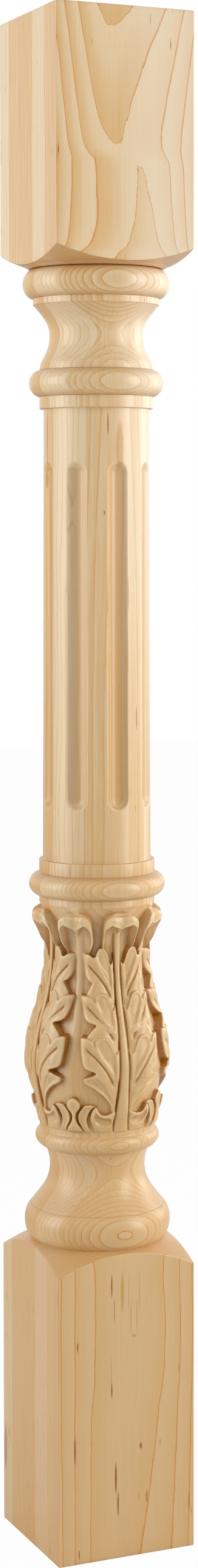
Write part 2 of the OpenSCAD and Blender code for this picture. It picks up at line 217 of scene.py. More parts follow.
face_line = spline([(0, NECK_R), (8, BELLY - 8.6), (14, BELLY - 5.8), (22, BELLY - 4.2), (33, BELLY - 1.6),
                    (46, BELLY), (60, BELLY - 1), (69, BELLY - 1.8), (76, BELLY - 4), (85, BELLY - 8.4),
                    (94, WAIST + 4.6), (104, WAIST + 2.6), (113, WAIST), (129, WAIST + 0.8),
                    (141, WAIST + 1.8), (155, NECK_R)])
ground_line = spline([(0, NECK_R), (15, NECK_R + 1.2), (34, BELLY - 6.9), (46, BELLY - 2.4 - LEAF_RISE),
                      (70, BELLY - 6.4 - LEAF_RISE), (97, WAIST + 0.9 - LEAF_RISE),
                      (113, WAIST - 0.4 - LEAF_RISE), (125, WAIST - 0.3 - LEAF_RISE),
                      (136, WAIST + 1.2 - LEAF_RISE), (147, NECK_R - 3), (154, NECK_R - 0.8), (158, NECK_R)])
rib_line = spline([(0, NECK_R), (9, NECK_R + 1.4), (22, BELLY - 5.8), (45, BELLY - 2.8), (60, BELLY - 4.4),
                   (72, BELLY - 7.2), (90, WAIST + 1.5), (110, WAIST - 2.1), (135, WAIST - 2.3),
                   (142, WAIST + 1.6), (155, NECK_R)])
curl_line = spline([(114, WAIST - 7), (122, WAIST - 3.6), (127, WAIST + 0.2), (132, WAIST + 3.2),
                    (138, CURL_R - 3), (144, CURL_R - 0.3), (148, CURL_R), (151, CURL_R - 1.6),
                    (153.4, NECK_R + 1), (155, NECK_R)])
rib_half_line = spline([(-2, 6.4), (3, 6.1), (11, 5.2), (20, 4.3), (36, 3.3), (70, 2.8), (110, 2.7),
                        (124, 3.1), (136, 3.3), (160, 2.3)])


def lookup(y, line):
    return np.interp(y, line[:, 0], line[:, 1])


def drawn(points, closed=True):
    """A curve through points of the flat drawing, given as (degrees, height)."""
    return spline([(a * GIRTH, y) for a, y in points], closed, 5)


def from_line(x, y, line):
    """Distance from an open line, and how far along it the nearest point is, from 0 to 1."""
    near = np.full(x.shape, 1e9)
    along = np.zeros(x.shape)
    for i, (a, b) in enumerate(zip(line[:-1], line[1:])):
        dx, dy = b - a
        t = np.clip(((x - a[0]) * dx + (y - a[1]) * dy) / (dx * dx + dy * dy + 1e-12), 0, 1)
        d = np.hypot(x - a[0] - t * dx, y - a[1] - t * dy)
        along = np.where(d < near, (i + t) / (len(line) - 1), along)
        near = np.minimum(near, d)
    return near, along


def inside(x, y, outline):
    """Distance in from a closed outline, negative outside it."""
    ring = np.vstack([outline, outline[:1]])
    near, _ = from_line(x, y, ring)
    hit = np.zeros(x.shape, bool)
    for (ax, ay), (bx, by) in zip(ring[:-1], ring[1:]):
        if ay != by:
            hit ^= ((ay > y) != (by > y)) & (x < (bx - ax) * (y - ay) / (by - ay) + ax)
    return np.where(hit, near, -near)


def lay(r, top, d):
    """Lays a petal with the height `top` over what is already there."""
    w = smooth((d + CUT / 2) / CUT)
    return np.where(w > 0, np.maximum(r, r * (1 - w) + top * w), r)


def rolled(d, drop, width):
    """How far a petal rounds off at its edge."""
    return drop * np.exp(-np.clip(d, 0, None) / width)


def groove(d, depth, width):
    return depth * np.exp(-(d / width) ** 2)


# A curl: its outline, the inside of its rim, the lower edge of its lip (across, up), the run of the beak
# under the middle of the lip, and how far the middle of the lip dips
CURLS = [
    dict(outline=[(-8, 153.2), (0, 153.3), (6.5, 152.4), (12, 150), (15.8, 146.6), (17.5, 141.6), (17.9, 135),
                  (18.4, 129.8), (17, 126), (12, 124), (0, 124), (-8, 124)],
         rim=[(18, 116), (17, 124), (16, 129), (16, 136), (14.6, 141), (11, 144.2), (8, 146)],
         lip=[(0, 142), (5.4, 142.6), (9.9, 143.8), (14, 142)], beak=5.0, dip=1.9),
    dict(outline=[(-8, 153), (0, 153), (7, 151.8), (12, 149.4), (15, 146.6), (16.8, 142), (17.5, 137),
                  (17.8, 132), (16.4, 127.6), (13.4, 123.6), (9, 121), (0, 119), (-8, 119)],
         rim=[(11, 114), (11.4, 121), (12.9, 126), (15.2, 133.4), (14.3, 139.4), (11, 143.2), (8, 146)],
         lip=[(0, 140.8), (4.6, 141.7), (9, 143.4), (14, 142.6)], beak=6.5, dip=3.2)]

# Fronds from the top down: tip height, outer point, and the points of its outer edge and of its foot
FRONDS = [
    dict(tip=127.8, outer=(42.6, 123.2), edge=[(41.2, 118.6), (38.4, 110), (32.5, 104.8), (29.4, 103.8)],
         foot=[(31.5, 101), (36.5, 94), (34, 89), (22, 75), (2, 71)], dip=1.8,
         vein=[(35.2, -5.6), (30.5, -9.2), (24, -13.6), (17, -19.6), (11.5, -26), (8.4, -31)]),
    dict(tip=97.2, outer=(42, 95.2), edge=[(40.8, 90.6), (36.3, 81.2), (31.8, 77.8), (25.2, 76)],
         foot=[(27, 74.2), (33.5, 67), (32, 61), (20, 47), (2, 43)], dip=1.8,
         vein=[(35.2, -5.6), (30.5, -9.2), (24, -13.6), (17, -19.6), (11.5, -26), (8.4, -31)]),
    dict(tip=68.2, outer=(38, 67.8), edge=[(38.4, 62.6), (36.2, 50.6), (33, 46.6), (25, 43.8)],
         foot=[(34.6, 40.4), (35, 37.4), (33.4, 35.6), (26.6, 32.9), (20.4, 28.8), (14.6, 23.8), (11.8, 20),
               (11.4, 17), (9, 15), (2, 13.6)], dip=0,
         vein=[(34.2, -6.0), (30.5, -9.0), (24, -14.0), (17, -21.5), (12, -29.0), (8.6, -35.5)])]

scroll_outline = drawn([(0, 17), (8, 16.4), (11.4, 15.6), (14.4, 14.7), (17.6, 14.6), (20.6, 15.6),
                        (22.6, 18), (23.6, 19.9), (25.4, 20), (27.6, 18.2), (29.4, 15), (30.4, 11.4), (30, 8),
                        (28, 4.2), (26.4, 0.8), (25.6, -3), (0, -3)])
scroll_dish = drawn([(9.6, 8.6), (12, 11.8), (16.5, 12.1), (21, 13.8), (24.6, 16.4), (26.6, 14.6),
                     (27.3, 11.6), (25.6, 8.6), (22.3, 6.7), (17, 5.8), (12.6, 6.4)])
finger_outline = drawn([(24.8, 20.2), (28, 21.2), (32.4, 21.6), (35.8, 20.4), (39.4, 17), (41.4, 13),
                        (40.9, 9.4), (38.4, 6), (36, 2), (34.6, -3), (28, -3), (29.4, 1), (31.2, 4.8),
                        (32.6, 8.6), (32.5, 12), (30.3, 16), (27.8, 18.6)])
lobe_outline = drawn([(0, 26.2), (2.6, 25.5), (5.2, 23.5), (6.5, 20.9), (5.6, 18.2), (3.3, 16), (2, 13.8),
                      (2, 11.4), (3.6, 8.4), (6.3, 5.4), (8.4, 2), (9.4, -3), (0, -4), (-8, -4), (-8, 25.4)])
crease_line = drawn([(27, 43), (21.5, 37.6), (16, 30.6), (11.6, 24), (9.4, 19)], False)
thumb_outline = drawn([(26, 42.4), (29.5, 42.4), (33, 40.4), (33.8, 38), (32.4, 36.4), (26.4, 34), (20, 29.8),
                       (14.4, 24.6), (11.4, 20.4), (11.4, 22.6), (15, 29.4), (20.4, 36.6)])


def curl(r, x, y, floor, shape):
    """A leaf tip that curls over: a rolled lip with a thin-rimmed cup under each side of it."""
    lip, rim = drawn(shape["lip"], False), drawn(shape["rim"], False)
    beak = 0.8 + shape["beak"] * (1 - smooth(np.abs(x) / 3.8))
    cupped = smooth((np.interp(x, lip[:, 0], lip[:, 1]) - y) / beak)
    cupped = cupped * smooth((np.interp(y, rim[:, 1], rim[:, 0]) - x) / 1.3 + 0.5)
    crown = lookup(y, curl_line) - shape["dip"] * np.exp(-(x / 4.4) ** 2) - groove(y - 150.6, 0.5, 0.7)
    d = inside(x, y, drawn(shape["outline"]))
    return lay(r, (crown - rolled(d, 0.9, 0.7)) * (1 - cupped) + floor * cupped, d)


def frond(r, x, y, face, shape):
    """One of the three leaflets of a half leaf, with its vein and the scoop in its tip."""
    t, outer = shape["tip"], shape["outer"]
    outline = drawn([(2, t - 12), (8, t - 11.5), (10.2, t - 7), (13.4, t - 1.8), (17.4, t), (21.3, t - 0.3),
                     (24.2, t - 3.2), (25.6, t - 5.8), (28.2, outer[1] - 1.6), (33, outer[1] + 0.2), outer]
                    + shape["edge"] + shape["foot"])
    d = inside(x, y, outline)
    if shape["dip"]:
        dip = shape["dip"] * smooth((outer[1] - 13 - y) / 12)
    else:
        dip = smooth((outer[1] - 27 - y) / 6)
    top = face + 0.3 - dip - rolled(d, 1.2, 1.0)
    near, along = from_line(x, y, drawn([(a, outer[1] + h) for a, h in shape["vein"]], False))
    fade = smooth(np.minimum(along * 5, (1 - along) * 6))
    top = top - fade * (groove(near, 1.15, 0.55) + groove(near, 0.8, 2.8))
    scoop = drawn([(7.4, t - 13), (10.2, t - 7), (13.4, t - 1.8), (17.4, t), (21.3, t - 0.3), (24.2, t - 3.2),
                   (24.8, t - 7), (21.5, t - 13), (16.5, t - 19), (11.5, t - 25), (8.4, t - 30), (7, t - 24)])
    top = top - 1.5 * smooth(inside(x, y, scoop) / 2.8)
    return lay(r, top, d)


def relief(a, y):
    """Radius of the carving at an angle from the leaf's middle and a height over its foot."""
    x, side = a * GIRTH, (45 - a) * GIRTH
    ground, rib = lookup(y, ground_line), lookup(y, rib_line)
    fall = np.where(a < 24, 2.7 * ((24 - a) / 19) ** 2, 4.4 * ((a - 24) / 17) ** 2)
    face = lookup(y, face_line) - fall * smooth(y / 9) * smooth((156 - y) / 14)
    stem = ground + 1.3 * smooth((y - 45) / 50) * np.clip(1 - (side / 4.6) ** 2, 0, 1)
    r = curl(stem, side, y, stem + 0.3, CURLS[1])
    r = curl(r, x, y, np.maximum(ground, rib - 0.5 - 2.4 * smooth((x - 2.6) / 5)), CURLS[0])
    for shape in FRONDS:
        r = frond(r, x, y, face, shape)
    # the thumb under the last frond
    near, along = from_line(x, y, crease_line)
    r = r - smooth((1 - along) * 2) * groove(near, 1.0, 0.9)
    r = r - 1.5 * smooth(inside(x, y, thumb_outline) / 2.8)
    # the scroll at the leaf's foot
    d = inside(x, y, scroll_outline)
    dish = smooth((inside(x, y, scroll_dish) + 0.4) / 2.6)
    r = lay(r, face + 0.4 - rolled(d, 1.1, 0.9) - 2.1 * dish, d)
    # the finger and the middle lobe between two leaves
    merge = smooth((y - 0.5) / 6)
    d = inside(x, y, finger_outline)
    r = lay(r, ground + 1.2 + 2.0 * merge - rolled(d, 1.1, 0.8) - 0.9 * smooth((d - 0.5) / 2.2), d)
    d = inside(side, y, lobe_outline)
    r = lay(r, ground + 1.6 + 2.4 * merge - rolled(d, 1.1, 0.9), d)
    # the midrib between its two grooves
    half_w = lookup(y, rib_half_line)
    rise = rib + np.clip(1 - (x / half_w) ** 2, -1, 1)
    low = smooth((139 - y) / 3) * smooth((y + 0.9) / 2)
    k = smooth((half_w + 0.7 - x) / 0.8) * low
    r = r * (1 - k) + np.where(x < half_w, rise, np.minimum(rise, r)) * k
    r = r - groove(x - half_w - 0.3, 0.9, 0.55) * low
    # the carving fades into the plain necks
    raised = smooth((y - NECK_UNDER) / 2) * smooth((RELIEF_H - NECK_OVER - y) / 2)
    return np.minimum(NECK_R * (1 - raised) + r * raised, BELLY)


# ---- the mesh of one eighth of the post --------------------------------------------------------
# The post is the same every 90 degrees and mirrored about the middle of each face, so one sector,
# from the middle of a face (0 degrees) to a corner (45 degrees), carries the whole shape.
# It is a list of rings from the floor up; a ring is its columns' angles, radii and heights.
TURNED = np.linspace(0, 45, 13)
CORNER_TURN = math.degrees(math.atan((HALF - EDGE_R) / HALF))
SQUARE = np.concatenate([np.linspace(0, CORNER_TURN - 1.2, 22), [CORNER_TURN - 0.4],
                         CORNER_TURN + (45 - CORNER_TURN) * np.array([0, 0.35, 0.7, 1])])
RIM = np.array([0, 1.6, 3.2, 4.8, 6.4, 7.8, 9, 9.9, 10.7, 11.5, 12.4, 13.6, 16])
FLUTED = np.concatenate([RIM, [22.5], 45 - RIM[::-1]])
CARVED = np.linspace(0, 45, 101)
CARVED_ROWS = 392


def blank_radius(angles, inset=0.0):
    """From the axis to the face of the square blank, round its eased corner."""
    a = np.radians(angles)
    flat = HALF - inset
    centre = flat - EDGE_R
    across = centre * (np.cos(a) - np.sin(a))
    rounded = centre * (np.cos(a) + np.sin(a)) + np.sqrt(np.maximum(EDGE_R ** 2 - across ** 2, 0))
    return np.where(np.tan(a) * flat > centre, rounded, flat / np.cos(a))


def block_rings(end_z, sweep):
    """Rings from the free end of a block to where its shoulder meets the turning."""
    into = 1 if sweep[0, 1] > end_z else -1
    side = blank_radius(SQUARE)
    rings = [(SQUARE, blank_radius(SQUARE, EDGE_R), np.full(len(SQUARE), end_z)),
             (SQUARE, blank_radius(SQUARE, 0.3 * EDGE_R), np.full(len(SQUARE), end_z + into * 0.3 * EDGE_R)),
             (SQUARE, side, np.full(len(SQUARE), end_z + into * EDGE_R)),
             (SQUARE, side, np.full(len(SQUARE), end_z + into * LEAD))]
    length = np.concatenate([[0], np.cumsum(np.hypot(*np.diff(sweep, axis=0).T))])
    start = np.interp(side, sweep[:, 0], length)

    def on_sweep(s):
        return np.interp(s, length, sweep[:, 0]), np.interp(s, length, sweep[:, 1])

    crest_r, crest_z = on_sweep(start)
    face = crest_z - into * ARRIS_R
    cut_r, cut_z = on_sweep(start - ARRIS_R)
    rings += [(SQUARE, side, crest_z - into * LEAD), (SQUARE, side, face),
              (SQUARE, (crest_r * 2 + side + cut_r) / 4, (crest_z * 2 + face + cut_z) / 4),
              (SQUARE, cut_r, cut_z)]
    for share in (0.94, 0.86, 0.76, 0.65, 0.54, 0.43, 0.33, 0.24, 0.16, 0.09, 0.04):
        rings.append((SQUARE, *on_sweep((start - ARRIS_R) * share)))
    return rings


def turned_rings(profile):
    return [(TURNED, np.full(len(TURNED), r), np.full(len(TURNED), z)) for r, z in profile]


def carved_rings():
    a, y = np.meshgrid(CARVED, np.linspace(0.2, RELIEF_H - NECK_OVER + 0.4, CARVED_ROWS))
    r = relief(a, y)
    return [(CARVED, row, CARVE_Z + h * CARVE_H / RELIEF_H) for row, h in zip(r, y)]


def fluted_rings():
    """The shaft, tapering upwards, with a flute on every face and every corner."""
    start, end = SHAFT_Z + LEAD, SHAFT_TOP - LEAD
    foot = SHAFT_Z + FLUTE_MARGIN + FLUTE_W / 2
    top = SHAFT_TOP - FLUTE_MARGIN - FLUTE_W / 2
    mean_r = (SHAFT_LOW_R + SHAFT_TOP_R) / 2
    reach = math.sqrt(mean_r ** 2 - (FLUTE_W / 2) ** 2) + math.sqrt(FLUTE_R ** 2 - (FLUTE_W / 2) ** 2)
    round_end = np.arange(-10.5, 2.4, 0.75)  # heights of the rings about the round end of a flute
    heights = np.concatenate([[start, foot - 14], foot + round_end, np.linspace(foot + 6, top - 6, 8),
                              top - round_end[::-1], [top + 14, end]])
    off = np.radians(np.minimum(FLUTED, 45 - FLUTED))
    rings = []
    for z in heights:
        shaft = SHAFT_LOW_R + (SHAFT_TOP_R - SHAFT_LOW_R) * (z - SHAFT_Z) / (SHAFT_TOP - SHAFT_Z)
        past = max(foot - z, z - top, 0)
        q = np.sqrt(past ** 2 + (reach * np.sin(off)) ** 2)
        cutter = (reach * np.cos(off) - np.sqrt(np.maximum(FLUTE_R ** 2 - q * q, 0))
                  + 2 * np.maximum(q - FLUTE_R, 0))
        h = np.clip(0.5 + (cutter - shaft) / 2 / FLUTE_RIM, 0, 1)
        r = cutter * (1 - h) + shaft * h - FLUTE_RIM * h * (1 - h)
        rings.append((FLUTED, r, np.full(len(FLUTED), z)))
    return rings


def skin(rings):
    """Vertices and faces of a stack of rings, which need not have the same columns."""
    points, faces, first = [], [], []
    for angles, r, z in rings:
        first.append(sum(len(p) for p in points))
        a = np.radians(angles)
        points.append(np.stack([r * np.cos(a), r * np.sin(a), z], 1))
    for n in range(len(rings) - 1):
        low, high = rings[n][0], rings[n + 1][0]
        i = j = 0
        if len(low) == len(high):
            for k in range(len(low) - 1):
                faces.append((first[n] + k, first[n] + k + 1, first[n + 1] + k + 1, first[n + 1] + k))
            continue
        while i < len(low) - 1 or j < len(high) - 1:
            if j == len(high) - 1 or (i < len(low) - 1 and low[i + 1] <= high[j + 1]):
                faces.append((first[n] + i, first[n] + i + 1, first[n + 1] + j))
                i += 1
            else:
                faces.append((first[n] + i, first[n + 1] + j + 1, first[n + 1] + j))
                j += 1
    points = np.vstack(points)
    # close both ends on the axis
    foot, top = len(points), len(points) + 1
    points = np.vstack([points, [[0, 0, rings[0][2][0]], [0, 0, rings[-1][2][0]]]])
    faces += [(foot, k + 1, k) for k in range(len(rings[0][0]) - 1)]
    faces += [(top, first[-1] + k, first[-1] + k + 1) for k in range(len(rings[-1][0]) - 1)]
    return points, faces


def evaluated(obj, name):
    """A plain mesh of an object as its modifiers leave it."""
    bpy.context.view_layer.update()
    graph = bpy.context.evaluated_depsgraph_get()
    mesh = bpy.data.meshes.new_from_object(obj.evaluated_get(graph))
    mesh.name = name
    return mesh


SECTOR_FACES = 24600             # triangles of one sector, after thinning the carving
HOLLOW_BLUR = 1.6                # how widely the carving is averaged to find its hollows


def blurred(grid, sigma):
    """A grid smoothed along both axes, by a sigma counted in its cells, mirrored at its edges."""
    for axis in (0, 1):
        reach = int(3 * sigma[axis])
        kernel = np.exp(-0.5 * (np.arange(-reach, reach + 1) / sigma[axis]) ** 2)
        kernel /= kernel.sum()
        width = [(reach, reach) if n == axis else (0, 0) for n in (0, 1)]
        padded = np.pad(grid, width, "reflect")
        grid = np.apply_along_axis(lambda line: np.convolve(line, kernel, "valid"), axis, padded)
    return grid


def sector():
    """One eighth of the post, its carving drawn finely and then thinned where it is flat."""
    carving = carved_rings()
    rings = (block_rings(0.0, foot_shoulder) + turned_rings(foot_turning) + carving
             + turned_rings(over_turning) + fluted_rings() + turned_rings(head_turning)
             + block_rings(POST_H, head_shoulder)[::-1])
    points, faces = skin(rings)
    mesh = bpy.data.meshes.new("sector")
    mesh.from_pydata((points * MM).tolist(), [], faces)
    obj = bpy.data.objects.new("sector", mesh)
    bpy.context.scene.collection.objects.link(obj)
    carved = obj.vertex_groups.new(name="carved")
    z = points[:, 2]
    inner = np.nonzero((z > CARVE_Z + 1) & (z < CARVE_Z + CARVE_H - NECK_OVER - 0.5))[0]
    carved.add(inner.tolist(), 1.0, "REPLACE")
    thin = obj.modifiers.new("thin", "DECIMATE")
    thin.vertex_group = carved.name
    thin.ratio = SECTOR_FACES / sum(len(f) - 2 for f in faces)
    thin.use_collapse_triangulate = True
    mesh = evaluated(obj, "sector")
    bpy.data.objects.remove(obj)

    # both cut sides lie exactly on their planes, so that the mirrored copies meet
    co = np.zeros(len(mesh.vertices) * 3)
    mesh.vertices.foreach_get("co", co)
    co = co.reshape(-1, 3)
    r, angle = np.hypot(co[:, 0], co[:, 1]), np.degrees(np.arctan2(co[:, 1], co[:, 0]))
    snap = 0.01                  # degrees
    angle = np.where(angle < snap, 0, np.where(angle > 45 - snap, 45, angle))
    co[:, 0], co[:, 1] = r * np.cos(np.radians(angle)), r * np.sin(np.radians(angle))
    co[angle == 0, 1] = 0
    mesh.vertices.foreach_set("co", co.ravel())

    # how far each point of the carving lies below its surroundings
    heights = np.array([ring[2][0] for ring in carving])
    radii = np.array([ring[1] for ring in carving])
    cell_y, cell_x = heights[1] - heights[0], math.radians(CARVED[1]) * WAIST
    hollow = blurred(radii, (HOLLOW_BLUR / cell_y, HOLLOW_BLUR / cell_x)) - radii
    row = np.clip((co[:, 2] / MM - heights[0]) / cell_y, 0, len(heights) - 1.001)
    col = np.clip(angle / CARVED[1], 0, len(CARVED) - 1.001)
    j, i = row.astype(int), col.astype(int)
    v, u = row - j, col - i
    value = ((hollow[j, i] * (1 - u) + hollow[j, i + 1] * u) * (1 - v)
             + (hollow[j + 1, i] * (1 - u) + hollow[j + 1, i + 1] * u) * v)
    in_carving = (co[:, 2] / MM > CARVE_Z) & (co[:, 2] / MM < OVER_BEAD_Z - NECK_OVER)
    layer = mesh.attributes.new("hollow", "FLOAT", "POINT")
    layer.data.foreach_set("value", np.where(in_carving, value, 0).astype(np.float32))
    return mesh


# ---- node helpers ------------------------------------------------------------------------------
def add(tree, kind, inputs=None, **settings):
    """Adds a node. An input given as a node or a socket is linked, any other value is set on it."""
    made = tree.nodes.new(kind)
    for name, value in settings.items():
        setattr(made, name, value)
    for key, value in (inputs or {}).items():
        socket = made.inputs[key]
        if isinstance(value, bpy.types.Node):
            value = value.outputs[0]
        if isinstance(value, bpy.types.NodeSocket):
            tree.links.new(value, socket)
        else:
            socket.default_value = value
    return made


def colour(code):
    """An sRGB hex colour as linear red, green, blue and alpha."""
    parts = [int(code[n:n + 2], 16) / 255 for n in (0, 2, 4)]
    return [c / 12.92 if c <= 0.04045 else ((c + 0.055) / 1.055) ** 2.4 for c in parts] + [1.0]


# ---- eight sectors make the post ---------------------------------------------------------------
WELD = 0.002                     # points of two sectors that are nearer than this are one
SHARP_FROM = 38                  # least turn, in degrees, of an edge that isn't shaded smooth


def round_the_axis():
    """A sector is mirrored into one face of the post, and that face is repeated round the axis."""
    tree = bpy.data.node_groups.new("faces round the axis", "GeometryNodeTree")
    tree.interface.new_socket("Geometry", in_out="INPUT", socket_type="NodeSocketGeometry")
    tree.interface.new_socket("Faces", in_out="INPUT", socket_type="NodeSocketInt")
    tree.interface.new_socket("Weld", in_out="INPUT", socket_type="NodeSocketFloat")
    tree.interface.new_socket("Material", in_out="INPUT", socket_type="NodeSocketMaterial")
    tree.interface.new_socket("Geometry", in_out="OUTPUT", socket_type="NodeSocketGeometry")
    given = add(tree, "NodeGroupInput").outputs
    other = add(tree, "GeometryNodeTransform", {"Geometry": given["Geometry"], "Scale": (1, -1, 1)})
    other = add(tree, "GeometryNodeFlipFaces", {"Mesh": other})
    face = add(tree, "GeometryNodeJoinGeometry")
    tree.links.new(given["Geometry"], face.inputs[0])
    tree.links.new(other.outputs[0], face.inputs[0])
    step = add(tree, "ShaderNodeMath", {0: math.tau, 1: given["Faces"]}, operation="DIVIDE")
    index = add(tree, "GeometryNodeInputIndex")
    turn = add(tree, "ShaderNodeMath", {0: index, 1: step}, operation="MULTIPLY")
    spin = add(tree, "ShaderNodeCombineXYZ", {"Z": turn})
    places = add(tree, "GeometryNodePoints", {"Count": given["Faces"], "Position": (0, 0, 0)})
    copies = add(tree, "GeometryNodeInstanceOnPoints", {"Points": places, "Instance": face, "Rotation": spin})
    whole = add(tree, "GeometryNodeRealizeInstances", {"Geometry": copies})
    whole = add(tree, "GeometryNodeMergeByDistance", {"Geometry": whole, "Distance": given["Weld"]})
    whole = add(tree, "GeometryNodeSetMaterial", {"Geometry": whole, "Material": given["Material"]})
    out = add(tree, "NodeGroupOutput")
    tree.links.new(whole.outputs[0], out.inputs[0])
    return tree


def make_post(material):
    """The whole post as one closed mesh."""
    obj = bpy.data.objects.new("maple_post", sector())
    bpy.context.scene.collection.objects.link(obj)
    tree = round_the_axis()
    repeat = obj.modifiers.new("repeat", "NODES")
    repeat.node_group = tree
    values = {"Faces": 4, "Weld": WELD * MM, "Material": material}
    for item in tree.interface.items_tree:
        if item.in_out == "INPUT" and item.name in values:
            repeat[item.identifier] = values[item.name]
    mesh = evaluated(obj, "maple_post")
    obj.modifiers.clear()
    obj.data = mesh
    mesh.shade_smooth()
    mesh.set_sharp_from_angle(angle=math.radians(SHARP_FROM))
    return obj


# ---- materials ---------------------------------------------------------------------------------
# Hard maple boards, planed, glued face to face and then turned and carved. The front board is cut
# near the bark, so its rings show as long tongues, ellipses and arches; the boards behind it show
# their edges, as fine upright lines. Depths run from the front face inwards.
BOARD = 21.4                     # thickness of a board
PITH = 190.0                     # how far behind the front face the tree's middle lay
RING = 2.26                      # width of a year's growth
RING_BOW = 4.0                   # bow at which a year ends just at the front face
LINE = 1.05                      # width of the dark line that ends a year
EARLY_WOOD, LATE_WOOD, YEAR_LINE = "F1DDB9", "DDB06C", "CE800C"
# At heights on the post: how far the front board's pith leaned to one side, and how far its rings
# bowed back from the front face
SWAY = [(0, -14), (100, -3), (155, 6), (198, 4), (290, 6), (450, 5), (620, 3), (790, 4), (860, 16), (895, 18),
        (930, 15), (949, 12), (960, -6), (1000, -13), (1054, -10)]
BOW = [(0, 7.2), (100, 6.8), (155, 6.6), (198, 6.7), (250, 5.6), (330, 4.8), (470, 4.6), (600, 5.0),
       (790, 3.6), (880, 2.3), (895, 3.3), (914, 3.72), (932, 3.92), (948, 4.01), (954, 4.12), (960, 4.0),
       (974, 3.68), (1000, 2.95), (1040, 1.7), (1054, 1.1)]
# Mineral streaks and bark flecks: x, y, z of the middle, half width, half length, strength
STREAKS = [
    (-11.5, -50.8, 189, 0.65, 8, 0.9), (-9.6, -50.8, 172, 0.4, 9, 0.6), (1.2, -50.8, 183, 0.4, 15, 0.3),
    (2.9, -50.8, 166, 0.4, 13, 0.35), (9.4, -50.8, 183, 0.4, 15, 0.3), (7.4, -50.8, 166, 0.4, 13, 0.35),
    (5.2, -50.8, 153, 1.8, 1.2, 0.35), (-37, -50.8, 150, 0.65, 3.6, 0.9),
    (-11.6, -50.8, 117, 0.65, 5.5, 0.9), (-12, -50.8, 128, 0.35, 14, 0.35), (-39, -50.8, 79, 0.75, 9.5, 0.9),
    (-8.6, -50.8, 56, 0.8, 11, 1.0), (-6.9, -50.8, 38, 0.7, 9, 0.9), (10.2, -50.8, 76, 1.0, 2.2, 0.9),
    (14.6, -50.8, 40, 0.8, 4.5, 0.6), (47, -50.8, 32, 0.5, 7, 0.7), (-36, -50.8, 7, 0.5, 3.4, 0.8),
    (-50.8, -49, 184, 0.5, 8, 0.7), (-50.8, 47, 52, 2.6, 17, 0.6), (-49.4, -50.8, 956, 0.5, 3.4, 0.9),
    (33, -50.8, 1030, 0.4, 4, 0.8), (18, -50.8, 1046, 0.35, 4, 0.5), (-50.8, 30, 1018, 0.7, 16, 0.35),
    (-50.8, 14, 990, 0.8, 24, 0.3), (-37.2, 0.5, 765, 0.8, 22, 0.75), (-36.8, 5, 738, 1.3, 7, 0.6),
    (-24.8, -20.2, 705, 0.7, 13, 0.8), (24.9, -27.6, 740, 1.2, 6, 0.7), (-7, -36, 775, 0.5, 8, 0.8),
    (-9.5, -36, 715, 0.5, 1.6, 0.9), (-1, -36, 640, 0.6, 9, 0.5), (14.9, -34, 575, 0.6, 8, 0.7),
    (8, -36, 660, 0.5, 12, 0.5)]
# An olive patch on the shaft and an orange one on the lower block, given the same way
PATCHES = [(1.6, -36.7, 760, 3.0, 17, 0.6), (-3.6, -50.8, 184, 1.3, 14, 0.8)]


